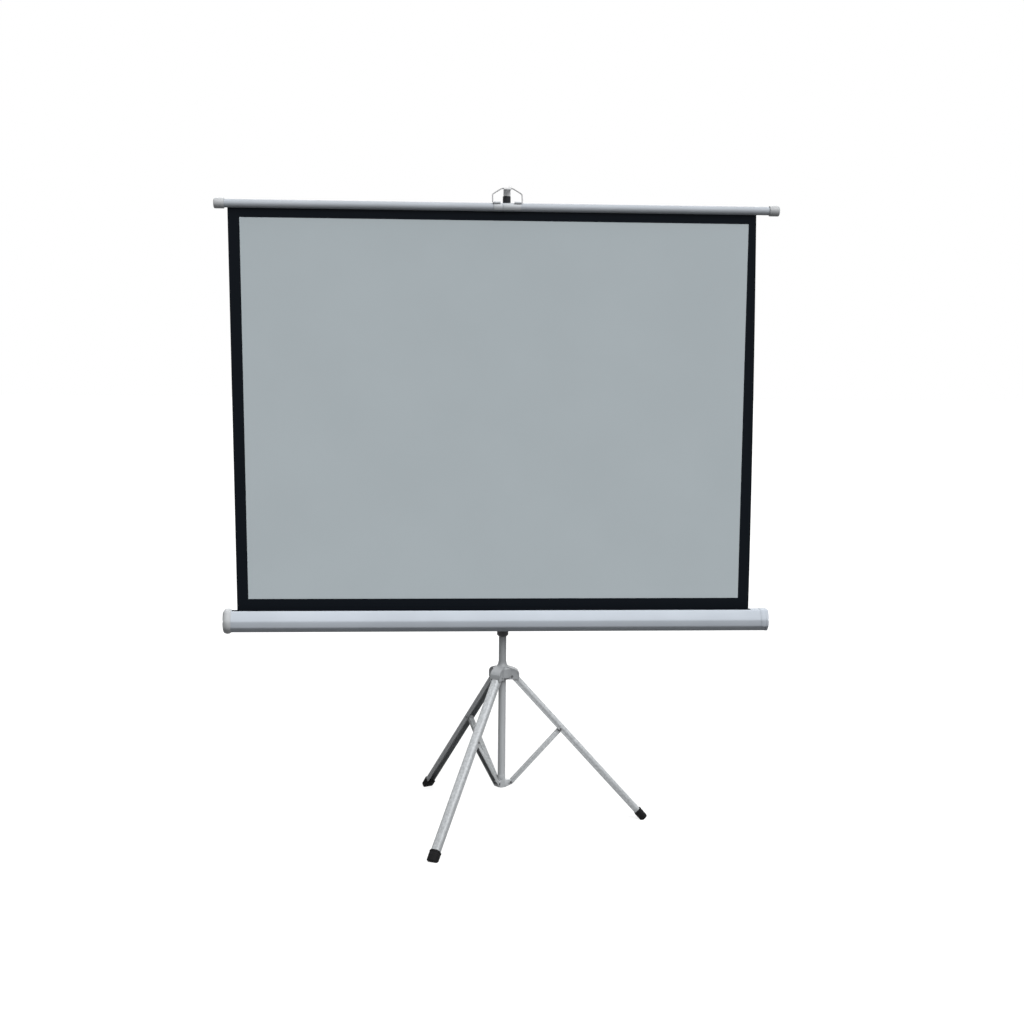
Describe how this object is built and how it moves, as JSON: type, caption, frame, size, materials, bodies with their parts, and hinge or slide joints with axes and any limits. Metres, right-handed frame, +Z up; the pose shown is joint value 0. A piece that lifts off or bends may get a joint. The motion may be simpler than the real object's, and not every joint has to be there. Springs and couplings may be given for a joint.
{
  "type": "tripod projection screen",
  "caption": "Portable projection screen: a bordered sheet drawn from a spring roller case and held up by a telescopic column on a folding tripod.",
  "frame": {"origin": "on the floor, under the middle of the screen's width and of the tripod's depth", "axes": "+Z up, the screen faces -Y, +X is to the viewer's right of someone facing the picture"},
  "size_m": [1.8942, 0.9032, 2.1902],
  "materials": {
    "silver_paint": "satin",
    "case_metal": "satin",
    "grey_plastic": "matte",
    "black_plastic": "satin",
    "dark_plastic": "matte",
    "foot_rubber": "matte",
    "bare_steel": "satin",
    "dark_steel": "satin",
    "zinc_plate": "satin",
    "screen_sheet": "matte",
    "wound_sheet": "matte"
  },
  "bodies": {
    "stand": {"column_tube": "silver_paint", "hub": "silver_paint", "hub_rivet_right": "dark_steel", "hub_rivet_rear": "dark_steel", "hub_rivet_front": "dark_steel", "pole_collar": "black_plastic", "case_sleeve": "dark_plastic", "case_bracket": "zinc_plate", "bracket_bolt_1": "bare_steel", "bracket_bolt_2": "bare_steel", "bracket_bolt_3": "bare_steel", "bracket_bolt_4": "bare_steel", "case_shell": "case_metal", "case_cap_left": "grey_plastic", "case_cap_right": "grey_plastic", "spring_spindle": "bare_steel", "fabric_tail": "screen_sheet"},
    "roller": {"roller_tube": "bare_steel", "wound_fabric": "wound_sheet", "roller_plug_left": "black_plastic", "roller_plug_right": "black_plastic", "roller_gudgeon": "bare_steel", "roller_spring": "dark_steel"},
    "pole": {"extension_pole": "silver_paint", "pole_guide": "black_plastic", "pole_head": "black_plastic", "pole_hook": "bare_steel", "top_bar": "case_metal", "bar_cap_left": "grey_plastic", "bar_cap_right": "grey_plastic", "bail_clip_left": "zinc_plate", "bail_clip_right": "zinc_plate", "screen_fabric": "screen_sheet"},
    "bail": {"bail": "bare_steel"},
    "pole_knob": {"pole_knob": "black_plastic"},
    "sleeve_knob": {"sleeve_knob": "black_plastic"},
    "spider": {"spider": "silver_paint", "centre_rod": "silver_paint", "rod_rivet": "dark_steel", "spider_rivet_right": "dark_steel", "spider_rivet_rear": "dark_steel", "spider_rivet_front": "dark_steel"},
    "leg_right": {"leg_right": "silver_paint", "foot_right": "foot_rubber", "strut_rivet_right": "dark_steel"},
    "strut_right": {"strut_right": "silver_paint"},
    "leg_rear": {"leg_rear": "silver_paint", "foot_rear": "foot_rubber", "strut_rivet_rear": "dark_steel"},
    "strut_rear": {"strut_rear": "silver_paint"},
    "leg_front": {"leg_front": "silver_paint", "foot_front": "foot_rubber", "strut_rivet_front": "dark_steel"},
    "strut_front": {"strut_front": "silver_paint"}
  },
  "joints": [
    {"name": "leg_right_fold", "type": "hinge", "parent": "stand", "child": "leg_right", "pos_m": [0.0577, 0, 0.51922], "axis": [0, 1, 0], "range_deg": [0, 41]},
    {"name": "leg_rear_fold", "type": "hinge", "parent": "stand", "child": "leg_rear", "pos_m": [0.0082, 0.02858, 0.51922], "axis": [-0.866, -0.5, 0], "range_deg": [0, 41]},
    {"name": "leg_front_fold", "type": "hinge", "parent": "stand", "child": "leg_front", "pos_m": [0.0082, -0.02858, 0.51922], "axis": [0.866, -0.5, 0], "range_deg": [0, 41]},
    {"name": "strut_right_fold", "type": "hinge", "parent": "leg_right", "child": "strut_right", "pos_m": [0.22973, 0, 0.3295], "axis": [0, 1, 0], "range_deg": [-82, 0]},
    {"name": "spider_drop", "type": "hinge", "parent": "strut_right", "child": "spider", "pos_m": [0.0577, 0, 0.13978], "axis": [0, 1, 0], "range_deg": [0, 41]},
    {"name": "strut_rear_fold", "type": "hinge", "parent": "spider", "child": "strut_rear", "pos_m": [0.0082, 0.02858, 0.13978], "axis": [-0.866, -0.5, 0], "range_deg": [-41, 0]},
    {"name": "strut_front_fold", "type": "hinge", "parent": "spider", "child": "strut_front", "pos_m": [0.0082, -0.02858, 0.13978], "axis": [0.866, -0.5, 0], "range_deg": [-41, 0]},
    {"name": "pole_slide", "type": "slide", "parent": "stand", "child": "pole", "axis": [0, 0, 1], "range_m": [-0.55, 0], "deforming": ["fabric_tail"]},
    {"name": "roller_spin", "type": "hinge", "parent": "stand", "child": "roller", "pos_m": [0, -0.0529, 0.72275], "axis": [1, 0, 0], "range_deg": [-1534, 0]},
    {"name": "bail_swing", "type": "hinge", "parent": "pole", "child": "bail", "pos_m": [0.0247, -0.04424, 2.13537], "axis": [1, 0, 0], "range_deg": [0, 16]},
    {"name": "pole_knob_turn", "type": "hinge", "parent": "stand", "child": "pole_knob", "pos_m": [0.0247, 0.03, 1.425], "axis": [0, 1, 0], "range_deg": [0, 450]},
    {"name": "sleeve_knob_turn", "type": "hinge", "parent": "stand", "child": "sleeve_knob", "pos_m": [0.0247, 0.03, 0.72275], "axis": [0, 1, 0], "range_deg": [0, 450]}
  ],
  "couplings": [
    {"joint": "leg_rear_fold", "follows": "leg_right_fold", "ratio": 1},
    {"joint": "strut_rear_fold", "follows": "leg_right_fold", "ratio": -1},
    {"joint": "leg_front_fold", "follows": "leg_right_fold", "ratio": 1},
    {"joint": "strut_front_fold", "follows": "leg_right_fold", "ratio": -1},
    {"joint": "strut_right_fold", "follows": "leg_right_fold", "ratio": -2},
    {"joint": "spider_drop", "follows": "leg_right_fold", "ratio": 1},
    {"joint": "roller_spin", "follows": "pole_slide", "rad_per_m": 48.662}
  ]
}
